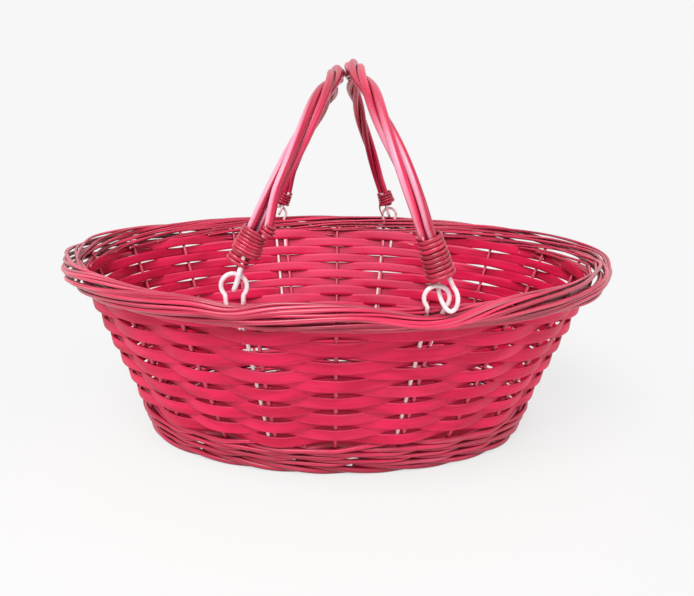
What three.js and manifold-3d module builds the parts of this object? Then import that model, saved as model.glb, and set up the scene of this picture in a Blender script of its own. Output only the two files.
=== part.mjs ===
// Oval gift basket with two hinged bail handles.
// Split-wood strips are woven round straight willow stakes between a waled foot and a rod border, and the
// twisted handles hang on linked wire eyes. Millimetres, +Z up: the origin is on the table under the middle
// of the oval, X runs along the oval and -Y is the front.
import * as THREE from "three";
import { mergeVertices } from "three/addons/utils/BufferGeometryUtils.js";
import Module from "manifold-3d";

const wasm = await Module();
wasm.setup();

// Overall sizes, over the outside of the rods
const rimLength = 420;
const rimWidth = 330;
const bodyHeight = 158;
const baseLength = 312;
const baseWidth = 174;

// Clearance between pieces that touch, and between the turns of one winding
const clearance = 0.3;
const turnGap = 0.5;

// Upright stakes
const stakeCount = 20;
const stakeDiameter = 2.8;

// Foot: three strands laid round the oval by one long rod, dressed flat underneath
const footRodDiameter = 4.6;
const footStrands = 3;
const footFlat = 0.5;

// Base mat of wide splints
const matStripWidth = 24;
const matStripGap = 5;
const matThickness = 1.1;
const matBond = 0.2;
const matLongStrips = 5;
const matCrossStrips = 9;

// Three-rod wale above the foot, worked as one long rod
const waleDiameter = 3;
const waleRounds = 5;

// Woven strips: the slit is left between two strips that pass a stake on the same side
const rowCount = 14;
const stripThickness = 0.8;
const slitHeight = 7.4;
const lobeShift = 1.8;

// Rim border of loosely twisted rods
const borderRods = 5;
const borderRodDiameter = 3.2;
const borderTurns = 4;
const borderTallness = 1.25;

// Wire eyes on the rim: places in stakes from the middle, and legs that go down through the weave on both
// sides of a stake, the left one to the wale and the right one only past the top row
const wireDiameter = 2.4;
const eyePlaces = { left: 1.1, right: 0.98 };
const eyeLegSpacing = 9;
const eyeRadius = 6.6;
const eyeHeight = 10;
const eyeDrop = 8;

// Handles: three rods twisted together, most of all near the top, and bound with flat cane at each foot
const handleRodDiameter = 5.1;
const handleRods = 3;
const handleRise = 140;
const handleMeet = 2;
const handleTwistTurns = 5 / 3;
const twistEase = 0.6;
const caneWidth = 2.4;
const caneThickness = 1.4;
const bindingTurns = 8;
const rodTail = 2.5;

// Facets
const rodSides = 5;
const stoutSides = 6;
const stepsPerStake = 2;
const archSteps = 24;
const loopSteps = 8;
const stepsPerTurn = 11;

// Finishes
const red = { color: 0xd21f4b, roughness: 0.45, metalness: 0 };
const stripRed = { color: 0xe02850, roughness: 0.5, metalness: 0 };
const handleRed = { color: 0xd8486e, roughness: 0.38, metalness: 0 };
const caneRed = { color: 0x9c2140, roughness: 0.45, metalness: 0 };
const paleWire = { color: 0xefdfe0, roughness: 0.35, metalness: 0.2 };

const basket = new THREE.Group();
const up = new THREE.Vector3(0, 0, 1);
const across = new THREE.Vector3(1, 0, 0);

function addPiece(parent, name, geometry, finish) {
  const mesh = new THREE.Mesh(geometry, new THREE.MeshStandardMaterial(finish));
  mesh.name = name;
  parent.add(mesh);
}

// Closed solid through a list of sections, each turning anticlockwise seen against the way of travel
function loft(sections, closed) {
  const count = sections[0].length;
  const last = sections.length - 1;
  const faces = [];
  for (let i = 0; i < (closed ? last + 1 : last); i++) {
    const here = i * count;
    const next = ((i + 1) % sections.length) * count;
    for (let a = 0; a < count; a++) {
      const b = (a + 1) % count;
      faces.push(here + a, here + b, next + b, here + a, next + b, next + a);
    }
  }
  for (let a = 1; !closed && a < count - 1; a++) {
    faces.push(0, a + 1, a, last * count, last * count + a, last * count + a + 1);
  }
  const geometry = new THREE.BufferGeometry().setFromPoints(sections.flat());
  geometry.setIndex(faces);
  geometry.computeVertexNormals();
  return geometry;
}

// Rod through a list of points, round or of [width, thickness]; each section is set square to the path, with
// its width in the reference direction
function rod(points, references, size, sides, closed = false) {
  const last = points.length - 1;
  const [width, thickness = width] = [size].flat();
  const sections = points.map((point, i) => {
    const before = points[closed ? (i + last) % (last + 1) : Math.max(i - 1, 0)];
    const after = points[closed ? (i + 1) % (last + 1) : Math.min(i + 1, last)];
    const travel = after.clone().sub(before).normalize();
    const first = (references[i] ?? references).clone().projectOnPlane(travel).normalize();
    const second = new THREE.Vector3().crossVectors(travel, first);
    return Array.from({ length: sides }, (_, a) => {
      const angle = (2 * Math.PI * a) / sides;
      return point
        .clone()
        .addScaledVector(first, (Math.cos(angle) * width) / 2)
        .addScaledVector(second, (Math.sin(angle) * thickness) / 2);
    });
  });
  return loft(sections, closed);
}

// Least gap between the turns of one winding, measured on the points of its centre line
function leastTurnGap(points, diameter, apart, closed) {
  let least = Infinity;
  for (let i = 0; i < points.length; i++) {
    for (let j = i + apart; j < points.length; j++) {
      const round = closed ? points.length - (j - i) : Infinity;
      if (round >= apart) least = Math.min(least, points[i].distanceTo(points[j]));
    }
  }
  return least - diameter;
}

function toSolid(geometry) {
  const bare = geometry.clone().deleteAttribute("normal").deleteAttribute("uv");
  const merged = mergeVertices(bare, 1e-3);
  const vertProperties = merged.attributes.position.array;
  const triVerts = new Uint32Array(merged.index.array);
  return new wasm.Manifold(new wasm.Mesh({ numProp: 3, vertProperties, triVerts }));
}

function toGeometry(solid) {
  const { vertProperties, triVerts } = solid.getMesh();
  const geometry = new THREE.BufferGeometry();
  geometry.setAttribute("position", new THREE.BufferAttribute(vertProperties, 3));
  geometry.setIndex(new THREE.BufferAttribute(triVerts, 1));
  geometry.computeVertexNormals();
  return geometry;
}

// Foot and border bundles: strands stand apart even halfway between two stations, where facets cut the corner
const footStation = Math.PI / footStrands / stepsPerStake;
const footRadius = (footRodDiameter + turnGap) / 2 / Math.sin(Math.PI / footStrands) / Math.cos(footStation);
const footReach = footRadius + footRodDiameter / 2;
const footMiddle = footReach - footFlat;
const footTop = footMiddle + footReach;
const borderStation = (Math.PI * borderTurns) / stakeCount / stepsPerStake;
const borderOut =
  (borderRodDiameter + clearance) / 2 / Math.sin(Math.PI / borderRods) / Math.cos(borderStation);
const borderUp = borderOut * borderTallness;
const borderReach = borderOut + borderRodDiameter / 2;
const borderHalfHeight = borderUp + borderRodDiameter / 2;
const borderMiddle = bodyHeight - borderHalfHeight;
const borderBottom = borderMiddle - borderHalfHeight;

// The wall's middle surface runs straight from the foot's oval to the rim's, stake by stake
function oval(length, width, reach) {
  const curve = new THREE.EllipseCurve(
    0, 0, length / 2 - reach, width / 2 - reach, -Math.PI / 2, 1.5 * Math.PI,
  );
  curve.arcLengthDivisions = 20 * stakeCount;
  return curve;
}
const footOval = oval(baseLength, baseWidth, footReach);
const rimOval = oval(rimLength, rimWidth, borderReach);

// Point of the middle surface at a stake number, counted from the front to the right, and a height
function onWall(stake, z) {
  const share = THREE.MathUtils.euclideanModulo(stake / stakeCount, 1);
  const rise = (z - footMiddle) / (borderMiddle - footMiddle);
  const flat = footOval.getPointAt(share).lerp(rimOval.getPointAt(share), rise);
  return new THREE.Vector3(flat.x, flat.y, z);
}

function wallDirections(stake, z) {
  const along = onWall(stake + 0.01, z).sub(onWall(stake - 0.01, z)).normalize();
  const climb = onWall(stake, z + 1).sub(onWall(stake, z)).normalize();
  const out = new THREE.Vector3().crossVectors(along, climb).normalize();
  const level = new THREE.Vector3().crossVectors(along, up);
  return { along, out, level };
}

function wall(stake, z, out = 0, along = 0) {
  const directions = wallDirections(stake, z);
  return onWall(stake, z).addScaledVector(directions.out, out).addScaledVector(directions.along, along);
}

// Stations of a rod that goes round the basket, in stake numbers
function stations(rounds) {
  return Array.from({ length: rounds * stakeCount * stepsPerStake }, (_, i) => i / stepsPerStake);
}

// Strand that winds round a level line of the wall, by a share of a turn from stake to stake
function strand(rounds, z, outRadius, upRadius, turnsPerStake, firstTurn) {
  return stations(rounds).map((stake) => {
    const angle = 2 * Math.PI * (firstTurn + turnsPerStake * stake);
    return onWall(stake, z)
      .addScaledVector(wallDirections(stake, z).level, outRadius * Math.cos(angle))
      .addScaledVector(up, upRadius * Math.sin(angle));
  });
}

// Foot: one rod goes round three times and twists over itself, with a strand on top at every stake
const footLine = strand(footStrands, footMiddle, footRadius, footRadius, -1 / footStrands, 1 / 4);
const footLevels = stations(footStrands).map((stake) => wallDirections(stake, footMiddle).level);
const roundFoot = toSolid(rod(footLine, footLevels, footRodDiameter, stoutSides, true));
const table = new THREE.BoxGeometry(2 * rimLength, 2 * rimWidth, bodyHeight).translate(0, 0, -bodyHeight / 2);
addPiece(basket, "foot_border", toGeometry(roundFoot.subtract(toSolid(table))), red);
console.log("foot_border gap", leastTurnGap(footLine, footRodDiameter, stakeCount, true).toFixed(2));

// Base mat: wide splints laid long ways and across, cut to the oval inside the stakes, on top of the foot
const matBottom = footTop + clearance;
const matTop = matBottom + 2 * matThickness - matBond;
const matInset = footReach + stakeDiameter / 2 + clearance;
const matOutline = new THREE.Shape().absellipse(
  0, 0, baseLength / 2 - matInset, baseWidth / 2 - matInset, 0, 2 * Math.PI,
);
const matBlank = new THREE.ExtrudeGeometry(matOutline, {
  depth: matTop - matBottom, bevelEnabled: false, curveSegments: 2 * stakeCount,
}).translate(0, 0, matBottom);
const matPitch = matStripWidth + matStripGap;
function splints(count, longWays, z) {
  return Array.from({ length: count }, (_, i) => {
    const offset = (i - (count - 1) / 2) * matPitch;
    const size = longWays ? [baseLength, matStripWidth] : [matStripWidth, baseWidth];
    const place = longWays ? [0, offset] : [offset, 0];
    return toSolid(new THREE.BoxGeometry(...size, matThickness).translate(...place, z));
  });
}
const longSplints = splints(matLongStrips, true, matBottom + matThickness / 2);
const crossSplints = splints(matCrossStrips, false, matTop - matThickness / 2);
const lattice = [...longSplints, ...crossSplints].reduce((joined, splint) => joined.add(splint));
addPiece(basket, "base_mat", toGeometry(lattice.intersect(toSolid(matBlank))), stripRed);

// Wale: the rod passes outside two stakes and inside the third, climbing as it goes
const waleOut = (stakeDiameter + waleDiameter) / 2 + clearance;
const waleRise = Math.sqrt((waleDiameter + turnGap) ** 2 - (waleOut / 2) ** 2) / (1 + 1 / 8);
const waleStart = matTop + clearance + waleDiameter / 2;
const waleSway = [-1, 0, 1, 1, 1, 0];
const waleHeave = [0, -1, 1, 0, -1, 1];
const waleStations = stations(waleRounds);
const waleLine = waleStations.map((stake, i) => {
  const beat = i % waleSway.length;
  const climb = waleRise * (stake / stakeCount + waleHeave[beat] / 4 + 1 / 4);
  return wall(stake, waleStart + climb, waleSway[beat] * waleOut);
});
const waleLevels = waleStations.map((stake) => wallDirections(stake, waleStart).out);
addPiece(basket, "wale", rod(waleLine, waleLevels, waleDiameter, rodSides), red);
console.log("wale gap", leastTurnGap(waleLine, waleDiameter, stakeCount, false).toFixed(2));
const waleTop = waleStart + waleRise * (waleRounds + 1 / 2) + waleDiameter / 2;

// Stakes stand on the foot's top strand and come up against the lowest rod of the border
const stakeBottom = footTop + clearance;
function stakeTop(stake) {
  const climb = onWall(stake, borderMiddle).sub(onWall(stake, footMiddle)).normalize();
  const lean = Math.acos(climb.z);
  const aside = borderUp * Math.sin(lean) - stakeDiameter / 2;
  const below = Math.sqrt(Math.max((borderRodDiameter / 2 + clearance) ** 2 - aside ** 2, 0));
  return borderMiddle - (borderUp * Math.cos(lean) + below) * Math.cos(lean);
}
for (let stake = 0; stake < stakeCount; stake++) {
  const ends = [onWall(stake, stakeBottom), onWall(stake, stakeTop(stake))];
  const facing = wallDirections(stake, stakeBottom).level;
  const name = "stake_" + String(stake + 1).padStart(2, "0");
  addPiece(basket, name, rod(ends, facing, stakeDiameter, stoutSides), red);
}

// Strips: every row passes the stakes in turn outside and inside, and the next row the other way about.
// A row is widest at a stake and narrows between stakes, where it changes places with its neighbours.
// The top row passes outside the middle stakes, so it is inside at the stakes beside the wire eyes.
const weaveBottom = waleTop + clearance;
const weaveTop = borderBottom - clearance;
const rowPitch = (weaveTop - weaveBottom + slitHeight - 2 * lobeShift) / (rowCount + 1);
const lobeWidth = 2 * rowPitch - slitHeight;
const leastSpacing = onWall(1, weaveBottom).distanceTo(onWall(0, weaveBottom));
const legShare = eyeLegSpacing / leastSpacing;
const waveReach = Math.max(
  (stakeDiameter + stripThickness) / 2 + clearance,
  ((wireDiameter + stripThickness) / 2 + clearance) / (1 - legShare),
);
const touchShare = (stripThickness + clearance) / (2 * waveReach);
const crossWidth = (rowPitch - touchShare * (lobeWidth + 2 * lobeShift)) / (1 - touchShare);

function stripRow(row) {
  const middle = weaveBottom + lobeShift + lobeWidth / 2 + row * rowPitch;
  const sections = stations(1).map((stake) => {
    const side = Math.round(Math.cos(Math.PI * (stake + rowCount - 1 - row)));
    const half = (side === 0 ? crossWidth : lobeWidth) / 2;
    const z = middle + side * lobeShift;
    const outer = side * waveReach + stripThickness / 2;
    const inner = side * waveReach - stripThickness / 2;
    return [
      wall(stake, z - half, inner),
      wall(stake, z + half, inner),
      wall(stake, z + half, outer),
      wall(stake, z - half, outer),
    ];
  });
  return loft(sections, true);
}
for (let row = 0; row < rowCount; row++) {
  addPiece(basket, "strip_row_" + String(row + 1).padStart(2, "0"), stripRow(row), stripRed);
}

// Border: separate rods twist together, with one of them lowest over every stake
for (let i = 0; i < borderRods; i++) {
  const line = strand(1, borderMiddle, borderOut, borderUp, borderTurns / stakeCount, i / borderRods - 1 / 4);
  const levels = stations(1).map((stake) => wallDirections(stake, borderMiddle).level);
  addPiece(basket, "border_rod_" + (i + 1), rod(line, levels, borderRodDiameter, rodSides, true), red);
}

// Rim eyes: a round wire loop stands inside the border. Its legs go down inside the top row, turn out through
// the slit below it and go on through the middle of the weave.
const eyeInset = borderReach + wireDiameter / 2 + clearance;
const eyeMiddle = bodyHeight + eyeHeight - wireDiameter / 2 - eyeRadius;
const eyeOpening = Math.acos(eyeLegSpacing / 2 / eyeRadius);
const legBottom = weaveBottom + wireDiameter / 2;
const legInset = waveReach + (stripThickness + wireDiameter) / 2 + clearance;
const legTurn = weaveTop - 2 * lobeShift - lobeWidth - clearance - wireDiameter / 2;
const legBend = legTurn - slitHeight + 2 * clearance + wireDiameter;
const shortLegBottom = legBend - rowPitch;

function eyeCentre(place) {
  const { level } = wallDirections(place, borderMiddle);
  return onWall(place, borderMiddle).addScaledVector(level, -eyeInset).setZ(eyeMiddle);
}

function rimEye(place) {
  const { along, level } = wallDirections(place, borderMiddle);
  const centre = eyeCentre(place);
  const stake = Math.round(place);
  const leg = (side, bottom) => [
    wall(stake, bottom, 0, (side * eyeLegSpacing) / 2),
    wall(stake, legBend, 0, (side * eyeLegSpacing) / 2),
    wall(stake, legTurn, -legInset, (side * eyeLegSpacing) / 2),
    centre.clone().setZ(borderMiddle).addScaledVector(along, (side * eyeLegSpacing) / 2),
  ];
  const loop = Array.from({ length: loopSteps + 1 }, (_, i) => {
    const angle = -eyeOpening + (i / loopSteps) * (Math.PI + 2 * eyeOpening);
    return centre
      .clone()
      .addScaledVector(along, eyeRadius * Math.cos(angle))
      .addScaledVector(up, eyeRadius * Math.sin(angle));
  });
  const bottoms = along.x > 0 ? [shortLegBottom, legBottom] : [legBottom, shortLegBottom];
  const wire = [...leg(1, bottoms[0]), ...loop, ...leg(-1, bottoms[1]).reverse()];
  return rod(wire, level, wireDiameter, stoutSides);
}
const eyes = {
  front_left: -eyePlaces.left,
  front_right: eyePlaces.right,
  back_right: stakeCount / 2 - eyePlaces.right,
  back_left: stakeCount / 2 + eyePlaces.left,
};
for (const [name, place] of Object.entries(eyes)) {
  addPiece(basket, "rim_eye_" + name, rimEye(place), paleWire);
}

// Handles: each arch turns about the bars of its two wire eyes and leans on the other one at the top.
// In the handle's own frame Y runs along the hinge, Z up the arch, and the hinge is the origin.
const hingeZ = eyeMiddle + eyeRadius - eyeDrop;
const rodStart = eyeDrop + wireDiameter / 2 + clearance;
const bindingPitch = caneWidth + 2 * clearance;
const bindingStart = rodStart + rodTail + caneWidth / 2;
const bindingEnd = bindingStart + bindingTurns * bindingPitch;
const legEnd = bindingEnd + rodTail;
const twistStation = (Math.PI * handleTwistTurns * (1 + twistEase)) / archSteps;
const strandRadius =
  (handleRodDiameter + clearance) / 2 / Math.sin(Math.PI / handleRods) / Math.cos(twistStation);
const bundleRadius = strandRadius + handleRodDiameter / 2;

// The eye's legs lie in the grooves between the rods, on the inner side of the handle
const grooveReach = (handleRodDiameter + wireDiameter) / 2 + clearance;
const grooveAngle = Math.PI / handleRods;
const grooveHalf = strandRadius * Math.cos(grooveAngle);
const grooveRadius =
  grooveHalf + Math.sqrt(grooveReach ** 2 - strandRadius ** 2 + grooveHalf ** 2);
const linkHalfWidth = grooveRadius * Math.sin(grooveAngle);
const bundleOffset = grooveRadius * Math.cos(grooveAngle);
const linkTop = (bindingStart + bindingEnd) / 2;

// Lean that brings a bundle to the place where the two meet at the top
function leanOf(side, hingeX) {
  const reach = side * (hingeX - handleMeet) - bundleRadius - clearance / 2;
  return Math.asin(reach / Math.hypot(handleRise, bundleOffset)) + Math.atan2(bundleOffset, handleRise);
}

function handleRod(side, hingeY, index) {
  const archLine = new THREE.Path()
    .moveTo(-hingeY, legEnd)
    .absellipse(0, legEnd, hingeY, handleRise - legEnd, Math.PI, 0, true);
  const feet = { start: [-hingeY, rodStart, 0], end: [hingeY, rodStart, 1] };
  const course = Array.from({ length: archSteps + 1 }, (_, i) => {
    const share = i / archSteps;
    const { x: y, y: z } = archLine.getPoint(share);
    return [y, z, share];
  });
  const points = [feet.start, ...course, feet.end].map(([y, z, share]) => {
    const eased = share - (twistEase * Math.sin(2 * Math.PI * share)) / (2 * Math.PI);
    const angle = 2 * Math.PI * (index / handleRods + handleTwistTurns * eased);
    const heading = archLine.getTangent(share);
    const sideways = strandRadius * Math.sin(angle);
    const x = side * (bundleOffset - strandRadius * Math.cos(angle));
    return new THREE.Vector3(x, y - heading.y * sideways, z + heading.x * sideways);
  });
  return rod(points, across, handleRodDiameter, stoutSides);
}

function bindingLine(side, footY) {
  const radius = (bundleRadius + clearance) / Math.cos(Math.PI / stepsPerTurn) + caneThickness / 2;
  return Array.from({ length: bindingTurns * stepsPerTurn + 1 }, (_, i) => {
    const turn = i / stepsPerTurn;
    const angle = 2 * Math.PI * turn;
    const x = side * (bundleOffset - radius * Math.cos(angle));
    return new THREE.Vector3(x, footY + radius * Math.sin(angle), bindingStart + turn * bindingPitch);
  });
}

function handleEye(footY) {
  const bend = Array.from({ length: loopSteps + 1 }, (_, i) => {
    const angle = Math.PI * (1 + i / loopSteps);
    const y = footY + linkHalfWidth * Math.cos(angle);
    return new THREE.Vector3(0, y, linkHalfWidth * (1 + Math.sin(angle)));
  });
  const tops = [bend[0].clone().setZ(linkTop), bend[loopSteps].clone().setZ(linkTop)];
  return rod([tops[0], ...bend, tops[1]], across, wireDiameter, stoutSides);
}

for (const [sideName, side] of [["left", -1], ["right", 1]]) {
  const { x: hingeX, y: frontY } = eyeCentre(eyes["front_" + sideName]);
  const handle = new THREE.Group();
  handle.position.set(hingeX, 0, hingeZ);
  handle.rotation.y = -side * leanOf(side, hingeX);
  basket.add(handle);
  for (let i = 0; i < handleRods; i++) {
    addPiece(handle, sideName + "_handle_rod_" + (i + 1), handleRod(side, -frontY, i), handleRed);
  }
  for (const [endName, footY] of [["front", frontY], ["back", -frontY]]) {
    const place = endName + "_" + sideName;
    const line = bindingLine(side, footY);
    addPiece(handle, "handle_eye_" + place, handleEye(footY), paleWire);
    addPiece(handle, "binding_" + place, rod(line, up, [caneWidth, caneThickness], rodSides), caneRed);
    console.log("binding_" + place + " gap", leastTurnGap(line, caneWidth, stepsPerTurn, false).toFixed(2));
  }
}

export default basket;
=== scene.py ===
import math

import bpy
import numpy as np
from mathutils import Matrix, Vector


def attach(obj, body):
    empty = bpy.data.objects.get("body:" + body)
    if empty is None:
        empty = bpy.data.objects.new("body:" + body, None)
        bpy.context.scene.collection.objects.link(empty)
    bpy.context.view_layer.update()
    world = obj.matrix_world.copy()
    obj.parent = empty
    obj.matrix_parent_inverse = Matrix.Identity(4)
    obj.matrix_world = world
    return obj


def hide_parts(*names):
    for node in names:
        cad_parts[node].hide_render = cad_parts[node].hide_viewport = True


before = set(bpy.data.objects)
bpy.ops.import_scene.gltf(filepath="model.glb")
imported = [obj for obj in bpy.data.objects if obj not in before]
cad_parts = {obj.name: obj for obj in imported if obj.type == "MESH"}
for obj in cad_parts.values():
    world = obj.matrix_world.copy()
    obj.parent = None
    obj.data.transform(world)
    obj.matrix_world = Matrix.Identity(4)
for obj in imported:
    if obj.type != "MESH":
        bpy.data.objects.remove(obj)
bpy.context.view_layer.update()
scene = bpy.context.scene


# Base: a close mat of split-wood splints, plaited over and under and left dull. Its dark colour is painted
# shade, standing in for the shade inside the basket that shows through the slits in the wall.
# It lies inside the stakes on top of the foot, and is the floor that the goods stand on.
# Its sizes, like those of all pieces, are in millimetres.
MM = 0.001
MAT_HALF = (152.0, 83.6)
MAT_PITCH = 20.0
MAT_LEVEL = 12.2
SPLINTS_LONG = 7
SPLINTS_ACROSS = 14
SPLINT_HALF = 9.95
SPLINT_SWAY = 0.42
SPLINT_SAMPLES = 8
splint_edge = np.array(
    [(-1, -0.5), (-0.96, -0.7), (0.96, -0.7), (1, -0.5), (1, 0.5), (0.96, 0.7), (-0.96, 0.7), (-1, 0.5)]
)
GRAIN_STEP = 0.37
# Painted shade: the colour and reach of the darkening where pieces lie close together
PAINTED_SHADE_COLOUR = (0.17, 0.003, 0.018)
PAINTED_SHADE_REACH = 0.016
GRAIN_DEPTH = 0.0004
LACQUER_ROUGHNESS = 0.27


def lofted(name, body, node, parts, material, cut=None):
    """One piece through rings of points. A part is its rings, whether they close, and its grain's number."""
    corners, faces, lay, smooth, finish = [], [], [], [], []
    start = 0
    for rings, closed, number in parts:
        count, around = rings.shape[:2]
        spans = count if closed else count - 1
        middles = rings.mean(1)
        travel = np.linalg.norm(np.roll(middles, -1, 0) - middles, axis=1)
        along = np.concatenate([[0], np.cumsum(travel)]) * MM
        girth = np.linalg.norm(np.roll(rings[0], -1, 0) - rings[0], axis=1)
        across = np.concatenate([[0], np.cumsum(girth)]) * MM + GRAIN_STEP * number
        ring, side = (a.ravel() for a in np.meshgrid(np.arange(spans), np.arange(around), indexing="ij"))
        here, there = ring * around, (ring + 1) % count * around
        next_side = (side + 1) % around
        quads = np.stack([here + side, here + next_side, there + next_side, there + side], 1)
        faces += (start + quads).tolist()
        near, far = along[ring], along[ring + 1]
        low, high = across[side], across[side + 1]
        lay.append(np.stack([near, low, near, high, far, high, far, low], 1).ravel())
        smooth += [True] * len(ring)
        finish += [0] * len(ring)
        if not closed:
            for end, turn in ((0, -1), (count - 1, 1)):
                faces.append([start + end * around + corner for corner in range(around)][::turn])
                lay.append(np.tile([along[end], across[0]], around))
                smooth.append(False)
                finish.append(1 if cut else 0)
        corners.append(rings.reshape(-1, 3) * MM)
        start += count * around
    mesh = bpy.data.meshes.new(name)
    mesh.from_pydata(np.concatenate(corners).tolist(), [], faces)
    mesh.uv_layers.new(name="lay").data.foreach_set("uv", np.concatenate(lay))
    mesh.polygons.foreach_set("use_smooth", smooth)
    mesh.polygons.foreach_set("material_index", finish)
    mesh.materials.append(material)
    if cut:
        mesh.materials.append(cut)
    piece = bpy.data.objects.new(name, mesh)
    scene.collection.objects.link(piece)
    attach(piece, body)
    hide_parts(node)


def grain_and_shade_group():
    """Grain of dyed wood: fine streaks and pores along the piece, broad bands where the dye took unevenly,
    and painted shade: a darker colour where pieces lie close together, found by ambient occlusion."""
    group = bpy.data.node_groups.new("dyed grain and painted shade", "ShaderNodeTree")
    face = group.interface
    for name in ("Deep", "Middle", "Pale", "Painted Shade"):
        face.new_socket(name, in_out="INPUT", socket_type="NodeSocketColor")
    for name in ("Lines Across", "Lines Along", "Bands", "Dull", "Gloss", "Painted Shade Amount"):
        face.new_socket(name, in_out="INPUT", socket_type="NodeSocketFloat")
    face.new_socket("Color", in_out="OUTPUT", socket_type="NodeSocketColor")
    for name in ("Roughness", "Height"):
        face.new_socket(name, in_out="OUTPUT", socket_type="NodeSocketFloat")
    nodes, links = group.nodes, group.links
    given = nodes.new("NodeGroupInput")
    result = nodes.new("NodeGroupOutput")
    lay = nodes.new("ShaderNodeUVMap")
    lay.uv_map = "lay"
    split = nodes.new("ShaderNodeSeparateXYZ")
    links.new(lay.outputs["UV"], split.inputs[0])

    def math_node(operation, a, b):
        node = nodes.new("ShaderNodeMath")
        node.operation = operation
        for socket, value in zip(node.inputs, (a, b)):
            if isinstance(value, (int, float)):
                socket.default_value = value
            else:
                links.new(value, socket)
        return node.outputs[0]

    def streaks(along, across, detail, roughness):
        place = nodes.new("ShaderNodeCombineXYZ")
        links.new(math_node("MULTIPLY", split.outputs[0], along), place.inputs[0])
        links.new(math_node("MULTIPLY", split.outputs[1], across), place.inputs[1])
        noise = nodes.new("ShaderNodeTexNoise")
        noise.inputs["Scale"].default_value = 1.0
        noise.inputs["Detail"].default_value = detail
        noise.inputs["Roughness"].default_value = roughness
        links.new(place.outputs[0], noise.inputs["Vector"])
        return noise.outputs["Fac"]

    def spread(value, low, high):
        ramp = nodes.new("ShaderNodeMapRange")
        ramp.interpolation_type = "SMOOTHSTEP"
        ramp.inputs["From Min"].default_value = low
        ramp.inputs["From Max"].default_value = high
        links.new(value, ramp.inputs["Value"])
        return ramp.outputs["Result"]

    def blend(amount, first, second):
        mix = nodes.new("ShaderNodeMix")
        mix.data_type = "RGBA"
        links.new(amount, mix.inputs["Factor"])
        links.new(first, mix.inputs["A"])
        links.new(second, mix.inputs["B"])
        return mix.outputs["Result"]

    fine = streaks(given.outputs["Lines Along"], given.outputs["Lines Across"], 3.0, 0.6)
    broad = streaks(given.outputs["Lines Along"], given.outputs["Bands"], 2.0, 0.5)
    long_change = streaks(6.0, 14.0, 2.0, 0.5)
    pores = spread(fine, 0.40, 0.30)
    tone = blend(spread(broad, 0.30, 0.68), given.outputs["Deep"], given.outputs["Middle"])
    for mask, amount, colour in (
        (spread(fine, 0.52, 0.78), 0.55, "Pale"),
        (spread(long_change, 0.55, 0.80), 0.30, "Pale"),
        (spread(long_change, 0.47, 0.25), 0.60, "Deep"),
        (pores, 0.45, "Deep"),
    ):
        tone = blend(math_node("MULTIPLY", mask, amount), tone, given.outputs[colour])
    # Painted shade: ambient occlusion darkens the colour where other pieces lie close
    crevice_occlusion = nodes.new("ShaderNodeAmbientOcclusion")
    crevice_occlusion.samples = 6
    crevice_occlusion.inputs["Distance"].default_value = PAINTED_SHADE_REACH
    painted_shade = math_node("MULTIPLY", spread(crevice_occlusion.outputs["AO"], 0.78, 0.30), given.outputs["Painted Shade Amount"])
    tone = blend(painted_shade, tone, given.outputs["Painted Shade"])
    links.new(tone, result.inputs["Color"])
    rough = nodes.new("ShaderNodeMapRange")
    links.new(fine, rough.inputs["Value"])
    rough.inputs["From Min"].default_value = 0.3
    rough.inputs["From Max"].default_value = 0.7
    links.new(given.outputs["Gloss"], rough.inputs["To Min"])
    links.new(given.outputs["Dull"], rough.inputs["To Max"])
    links.new(rough.outputs["Result"], result.inputs["Roughness"])
    links.new(math_node("SUBTRACT", fine, math_node("MULTIPLY", pores, 0.4)), result.inputs["Height"])
    return group


grain = grain_and_shade_group()


def dyed_wood(
    name, deep, middle, pale, across, along, bands, dull, gloss, shine, lacquer, relief, painted_shade_amount=0.9
):
    """Dyed and lacquered wood with its grain along the piece, and painted shade where pieces lie close
    together.
    """
    material = bpy.data.materials.new(name)
    material.use_nodes = True
    nodes, links = material.node_tree.nodes, material.node_tree.links
    shader = nodes["Principled BSDF"]
    shader.inputs["Coat Weight"].default_value = lacquer
    shader.inputs["Coat Roughness"].default_value = LACQUER_ROUGHNESS
    shader.inputs["Specular IOR Level"].default_value = shine
    wood = nodes.new("ShaderNodeGroup")
    wood.node_tree = grain
    for socket, colour in (("Deep", deep), ("Middle", middle), ("Pale", pale), ("Painted Shade", PAINTED_SHADE_COLOUR)):
        wood.inputs[socket].default_value = (*colour, 1)
    for socket, value in (
        ("Lines Across", across),
        ("Lines Along", along),
        ("Bands", bands),
        ("Dull", dull),
        ("Gloss", gloss),
        ("Painted Shade Amount", painted_shade_amount),
    ):
        wood.inputs[socket].default_value = value
    links.new(wood.outputs["Color"], shader.inputs["Base Color"])
    links.new(wood.outputs["Roughness"], shader.inputs["Roughness"])
    bump = nodes.new("ShaderNodeBump")
    bump.inputs["Strength"].default_value = relief
    bump.inputs["Distance"].default_value = GRAIN_DEPTH
    links.new(wood.outputs["Height"], bump.inputs["Height"])
    links.new(bump.outputs["Normal"], shader.inputs["Normal"])
    return material


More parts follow.
